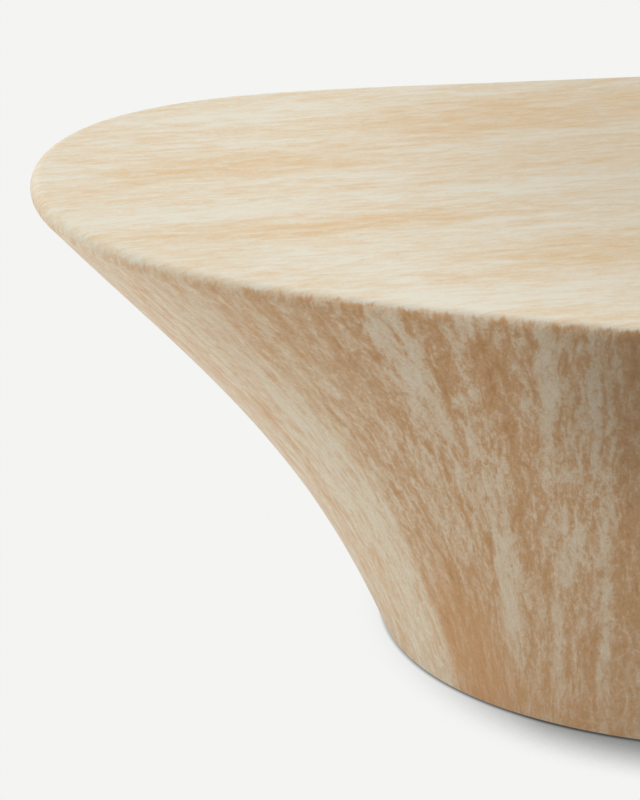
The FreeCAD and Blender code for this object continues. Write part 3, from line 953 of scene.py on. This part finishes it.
def floor_shadow(tree, along):
    """Floor brightness: openness to the lamp side to a power, faded along x, times the gap's dark line."""
    lamp = node(tree, "ShaderNodeCombineXYZ", dict(enumerate(lamp_side)))
    contact = node(tree, "ShaderNodeAmbientOcclusion", {"Distance": shadow_reach, "Normal": lamp}, output=1,
                   samples=32)
    contact = node(tree, "ShaderNodeMapRange", {0: contact, 1: shadow_shut, 2: 1.0})
    contact = node(tree, "ShaderNodeMath", {0: contact, 1: shadow_power}, operation="POWER")
    contact = node(tree, "ShaderNodeMath", {0: contact, 1: shadow_deepest, 2: shadow_blend},
                   operation="SMOOTH_MAX")
    fade = node(tree, "ShaderNodeMapRange", {0: along, 1: shadow_edge, 2: shadow_full})
    pale = node(tree, "ShaderNodeMapRange",
                {0: along, 1: shadow_paling, 2: shadow_pale, 3: 1.0, 4: pale_share})
    fade = node(tree, "ShaderNodeMath", {0: fade, 1: pale}, operation="MULTIPLY")
    contact = node(tree, "ShaderNodeMapRange", {0: fade, 3: 1.0, 4: contact})
    gap = node(tree, "ShaderNodeAmbientOcclusion", {"Distance": gap_reach}, output=1, samples=16)
    gap = node(tree, "ShaderNodeMapRange", {0: gap, 1: gap_shut, 2: gap_open, 3: gap_darkest, 4: 1.0})
    return node(tree, "ShaderNodeMath", {0: contact, 1: gap}, operation="MULTIPLY")


print("floor shadow reaches", shadow_reach, "m from the pedestal")

# %% Finish of the floor
floor_pale = colour("#F4F4F2")
glow_start = -0.6
glow_end = 0.2
glow_left = 0.92
glow_right = 0.52
shade_size = (0.3, 0.27)
shade_end = 1.25
shade_share = 0.8


def floor_glow(tree, place, along):
    """Bounced light: a glow that falls from left to right, times a shade under the table."""
    glow = node(tree, "ShaderNodeMapRange",
                {0: along, 1: glow_start, 2: glow_end, 3: glow_left, 4: glow_right})
    scale = (1 / shade_size[0], 1 / shade_size[1], 0)
    foot_place = node(tree, "ShaderNodeMapping", {"Vector": place, "Scale": scale})
    from_foot = node(tree, "ShaderNodeVectorMath", {0: foot_place}, output=1, operation="LENGTH")
    shaded = node(tree, "ShaderNodeMapRange", {0: from_foot, 1: 1.0, 2: shade_end, 3: shade_share, 4: 1.0})
    return node(tree, "ShaderNodeMath", {0: glow, 1: shaded}, operation="MULTIPLY")


def pale_floor():
    """Glowing sheet: the view sees one tone times the shadow, bounced light sees a dimmer glow."""
    finish, tree = new_finish("pale studio floor")
    place = node(tree, "ShaderNodeTexCoord", output=3)
    along = node(tree, "ShaderNodeSeparateXYZ", {0: place}, output=0)
    seen = node(tree, "ShaderNodeLightPath", output=0)
    below = node(tree, "ShaderNodeNewGeometry", output=6)
    shown = node(tree, "ShaderNodeEmission", {"Color": floor_pale, "Strength": floor_shadow(tree, along)})
    lit = node(tree, "ShaderNodeEmission", {"Color": floor_pale, "Strength": floor_glow(tree, place, along)})
    clear = node(tree, "ShaderNodeBsdfTransparent")
    surface = node(tree, "ShaderNodeMixShader", {0: seen, 1: lit, 2: shown})
    surface = node(tree, "ShaderNodeMixShader", {0: below, 1: surface, 2: clear})
    node(tree, "ShaderNodeOutputMaterial", {"Surface": surface})
    return finish


dress([floor], pale_floor())
print("floor glow from", glow_left, "on the left to", glow_right, "on the right")

# %% [markdown]
# ## Soft studio light
# Two large soft lights make the picture: one from the left, and one high behind the table that keeps the
# deck bright. Each is a broad lobe on the sky, its strength a power of the cosine to its middle, so there
# are no lamp edges to reflect. What looks straight at the sky, or mirrors it, sees the pale backdrop
# instead.

# %% Sky
lobes = [((-0.944, 0.0, 0.33), 1.34), ((0.0, 0.4, 0.917), 2.0)]
lobe_power = 3.0
sky_base = 0.02


def studio_sky():
    """World whose glow is a base plus each lobe's strength times a power of the cosine to its direction."""
    world = bpy.data.worlds.new("soft studio")
    world.use_nodes = True
    tree = world.node_tree
    tree.nodes.clear()
    direction = node(tree, "ShaderNodeTexCoord", output=0)
    glow = sky_base
    for middle, strength in lobes:
        toward = node(tree, "ShaderNodeVectorMath", {0: direction, 1: middle}, output=1,
                      operation="DOT_PRODUCT")
        toward = node(tree, "ShaderNodeMath", {0: toward, 1: 0.0}, operation="MAXIMUM")
        toward = node(tree, "ShaderNodeMath", {0: toward, 1: lobe_power}, operation="POWER")
        glow = node(tree, "ShaderNodeMath", {0: toward, 1: strength, 2: glow}, operation="MULTIPLY_ADD")
    rays = node(tree, "ShaderNodeLightPath").node.outputs
    shown = node(tree, "ShaderNodeMath", {0: rays["Is Camera Ray"], 1: rays["Is Glossy Ray"]},
                 operation="MAXIMUM")
    shown = node(tree, "ShaderNodeMath", {0: shown, 1: rays["Is Transmission Ray"]}, operation="MAXIMUM")
    lighting = node(tree, "ShaderNodeBackground", {"Color": (1, 1, 1, 1), "Strength": glow})
    backdrop = node(tree, "ShaderNodeBackground", {"Color": floor_pale, "Strength": 1.0})
    sky = node(tree, "ShaderNodeMixShader", {0: shown, 1: lighting, 2: backdrop})
    node(tree, "ShaderNodeOutputWorld", {"Surface": sky})
    return world


bpy.context.scene.world = studio_sky()
print("sky with", len(lobes), "soft lights")

# %% [markdown]
# ## The camera
# The picture is a close view with a long lens: it shows the left half of the table from a little above eye
# level for someone seated. The camera is described by how the deck's middle appears, far to the right of the
# frame, and by its pitch, yaw and distance; its place and axes follow from those.

# %% Camera
picture_width = 640
picture_height = 800
focal_pixels = 3600.0
pitch = math.radians(24.36)
yaw = math.radians(-3.2)
distance = 2.895
deck_middle_pixel = (759.45, 191.0)


def camera_place():
    """Camera matrix: axes from pitch and yaw, and an eye that sees the deck's middle at its pixel."""
    side = (deck_middle_pixel[0] - picture_width / 2) / focal_pixels * distance
    down = (deck_middle_pixel[1] - picture_height / 2) / focal_pixels * distance
    rise = np.array([0, math.sin(pitch), math.cos(pitch)])
    back = np.array([0, -math.cos(pitch), math.sin(pitch)])
    eye = distance * back + down * rise - np.array([side, 0, 0])
    turned = np.array([[math.cos(yaw), math.sin(yaw), 0], [-math.sin(yaw), math.cos(yaw), 0], [0, 0, 1]])
    placed = np.eye(4)
    placed[:3, :3] = turned @ np.stack([np.array([1, 0, 0]), rise, back], -1)
    placed[:3, 3] = turned @ eye + np.array([0, 0, deck_height])
    return Matrix(placed.tolist())


lens = bpy.data.cameras.new("camera")
lens.sensor_fit = "VERTICAL"
lens.sensor_height = 36
lens.lens = focal_pixels * lens.sensor_height / picture_height
camera = bpy.data.objects.new("camera", lens)
camera.matrix_world = camera_place()
bpy.context.scene.collection.objects.link(camera)
bpy.context.scene.camera = camera
bpy.context.scene.view_settings.view_transform = "Standard"
print("camera at", tuple(camera.matrix_world.translation), "with a", lens.lens, "mm lens")
